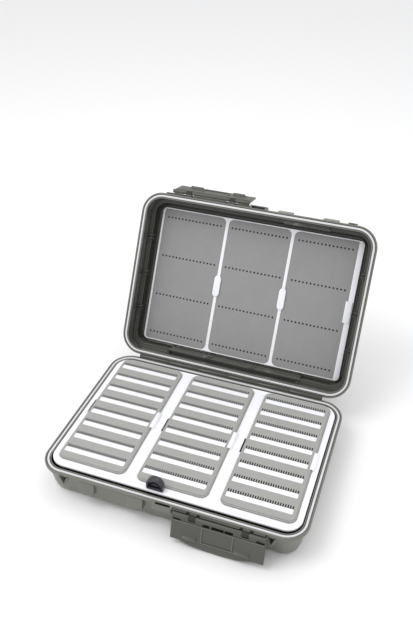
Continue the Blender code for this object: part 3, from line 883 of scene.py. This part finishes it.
def lid_pockets():
    """X limits of the three pockets, each with the corner radii at its left and right ends."""
    inner, outer = LID_DIVIDER_X - LID_DIVIDER / 2, LID_DIVIDER_X + LID_DIVIDER / 2
    left, right = LID_RIM_X[0] - LID_TRAY_HALF[0], LID_TRAY_HALF[0] - LID_RIM_X[1]
    return [(left, -outer, 2.0, 9.0), (-inner, inner, 9.0, 9.0), (outer, right, 9.0, 5.0)]


def lid_pocket(pocket, gap):
    low, high, left_r, right_r = pocket
    half_y = LID_TRAY_HALF[1] - LID_RIM_Y - gap
    near, far = TRAY_MID_Y - half_y, TRAY_MID_Y + half_y
    corners = [(low + gap, near, left_r), (high - gap, near, right_r)]
    corners += [(high - gap, far, right_r), (low + gap, far, left_r)]
    return softened(corners, closed=True, steps=8)


def lid_tray():
    mid = (0.0, TRAY_MID_Y)
    outline = rounded_rectangle(*LID_TRAY_HALF, LID_TRAY_R, mid, 10)
    tray = piece("lid_tray_frame", prism(outline, *LID_TRAY_Z), WHITE)
    cut(tray, *[prism(lid_pocket(pocket, 0.0), 5.0, LID_TRAY_Z[1] + 2) for pocket in lid_pockets()])
    clips = []
    top = LID_TRAY_Z[1]
    near, far = LID_CLIP_Y
    for x in (-LID_DIVIDER_X, LID_DIVIDER_X):
        clips.append(box((x - 2.0, x + 2.0), LID_CLIP_Y, (top - 1.5, top + 0.6)))
        plan = [
            (x - 5.0, near + 4, 1.2), (x - 3.0, near, 1.0), (x + 3.0, near, 1.0), (x + 5.0, near + 4, 1.2),
            (x + 5.0, far - 4, 1.2), (x + 3.0, far, 1.0), (x - 3.0, far, 1.0), (x - 5.0, far - 4, 1.2),
        ]
        clips.append(prism(softened(plan, closed=True), top + 0.1, top + 2.2, bevel=0.5))
    edge = LID_RIM_X[0] - LID_TRAY_HALF[0]
    clips.append(box((edge - 6.0, edge - 0.6), LID_CLIP_Y, (top - 1.5, top + 0.6)))
    clips.append(box((edge - 6.6, edge + 2.8), LID_CLIP_Y, (top + 0.1, top + 2.0), bevel=0.5))
    add(tray, *clips)
    round_edges(tray, 0.4)
    return smooth(tray)


def lid_foam(name, pocket):
    """Flat foam with rows of small punched holes over an uncut skin; the skin and the holes' walls get
    painted shade.
    """
    low, high = pocket[:2]
    outline = lid_pocket(pocket, 0.3)
    count = int((high - low - 12.0) / HOLE_PITCH) + 1
    first = (low + high) / 2 - (count - 1) * HOLE_PITCH / 2
    holes = [
        circle((first + HOLE_PITCH * i, y), HOLE_R, 10) for y in HOLE_ROWS_Y for i in range(count)
    ]
    skin_z = LID_FOAM_Z[0] + LID_FOAM_SKIN
    top = sheet_with_holes(name, outline, holes, skin_z, LID_FOAM_Z[1], LID_FOAM)
    # The skin gets the painted-shade foam.
    skin = sheet_with_holes(name + "_skin", outline, [], LID_FOAM_Z[0], skin_z, FOAM_PAINTED_SHADE)
    # The holes' walls get the painted-shade foam.
    top.data.materials.append(FOAM_PAINTED_SHADE)
    for face in top.data.polygons:
        near = min(abs(face.center.y / MM - y) for y in HOLE_ROWS_Y)
        inside = low + 2 < face.center.x / MM < high - 2
        if abs(face.normal.z) < 0.5 and near < HOLE_R + 0.1 and inside:
            face.material_index = 1
    return join(top, skin)


# ---------------------------------------------------------------- assembly

def settle(obj, body, slot, *nodes):
    """Puts a finished piece on its CAD body; a lid piece is swung open first."""
    if body in ("lid", "lid_latch"):
        obj.matrix_world = LID_PLACE @ obj.matrix_world
    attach(obj, body)
    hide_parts(*nodes)
    return obj


def build_base():
    settle(half_shell("shell_lower", []), "base", "shell", "base_shell")
    settle(seal("seal_lower"), "base", "gasket", "base_gasket")
    settle(base_tray(), "base", "tray", "base_tray")
    settle(tray_pull(), "base", "pull", "tray_pull")
    for side in SIDES:
        settle(insert_plate(side), "base", "tray", f"base_insert_plate_{side}")
        foam = settle(base_foam(side), "base", "base_foam", f"base_foam_{side}")


def build_lid():
    settle(half_shell("shell_upper", inner_rail() + inner_details()), "lid", "shell", "lid_shell")
    settle(seal("seal_upper"), "lid", "gasket", "lid_gasket")
    settle(lid_tray(), "lid", "tray", "lid_tray")
    for side, pocket in zip(reversed(SIDES), lid_pockets()):
        foam = settle(lid_foam(f"flat_foam_{side}", pocket), "lid", "lid_foam", f"lid_foam_{side}")


def build_latches():
    for name, body in (("latch_lower", "base_latch"), ("latch_upper", "lid_latch")):
        flap = latch(name)
        hang = Euler((-LATCH_LEAN, 0.0, 0.0)).to_matrix().to_4x4()
        place = Vector((0.0, LATCH_AXIS.y, LATCH_AXIS.z)) * MM
        flap.matrix_world = Matrix.Translation(place) @ hang
        settle(flap, body, "latch", body)


def finish_cad_nodes():
    """The pins, and the lid plates that the foam covers, keep their CAD shape."""
    for name, node in frame["nodes"].items():
        is_pin = "pin" in name
        node.data.materials.clear()
        node.data.materials.append(STEEL if is_pin else WHITE)
        if is_pin:
            smooth(node)


# ---------------------------------------------------------------- studio

def area_light(name, place, size, power):
    """A rectangular lamp that faces the box."""
    light = bpy.data.lights.new(name, "AREA")
    light.shape = "RECTANGLE"
    light.size, light.size_y = size
    light.energy = power
    obj = new_object(name, light)
    obj.location = place
    direction = Vector(LIGHT_TARGET) - Vector(place)
    obj.rotation_euler = direction.to_track_quat("-Z", "Y").to_euler()


def studio():
    floor_mesh = bmesh.new()
    bmesh.ops.create_grid(floor_mesh, x_segments=2, y_segments=2, size=6.0)
    mesh = bpy.data.meshes.new("floor")
    floor_mesh.to_mesh(mesh)
    floor_mesh.free()
    floor = new_object("floor", mesh)
    material, _, _, shader = new_material("pale_floor")
    shader.inputs["Base Color"].default_value = (0.94, 0.94, 0.95, 1.0)
    shader.inputs["Roughness"].default_value = 0.85
    shader.inputs["Specular IOR Level"].default_value = 0.1
    mesh.materials.append(material)

    bpy.context.scene.view_settings.view_transform = "Standard"
    world = bpy.data.worlds.new("studio")
    world.use_nodes = True
    background = world.node_tree.nodes["Background"]
    background.inputs["Color"].default_value = (1.0, 1.0, 1.0, 1.0)
    background.inputs["Strength"].default_value = WORLD_STRENGTH
    bpy.context.scene.world = world
    area_light("key", (-0.7, -0.5, 1.6), (0.9, 0.9), 10.0)
    area_light("top", (0.3, 0.7, 1.6), (1.2, 1.2), 4.0)


def camera():
    """Stands in front of the box, to its right and above it, and looks down at the open mouth."""
    data = bpy.data.cameras.new("camera")
    data.sensor_width = 36.0
    data.lens = CAMERA_LENS_MM
    data.shift_x, data.shift_y = CAMERA_SHIFT
    data.clip_end = 50.0
    obj = new_object("camera", data)
    turn = Matrix.Rotation(math.radians(CAMERA_AZIMUTH), 4, "Z")
    turn @= Matrix.Rotation(math.radians(CAMERA_TILT), 4, "X")
    turn @= Matrix.Rotation(math.radians(CAMERA_ROLL), 4, "Z")
    obj.matrix_world = Matrix.Translation(CAMERA_PLACE) @ turn
    bpy.context.scene.camera = obj


build_base()
build_lid()
build_latches()
finish_cad_nodes()
studio()
camera()
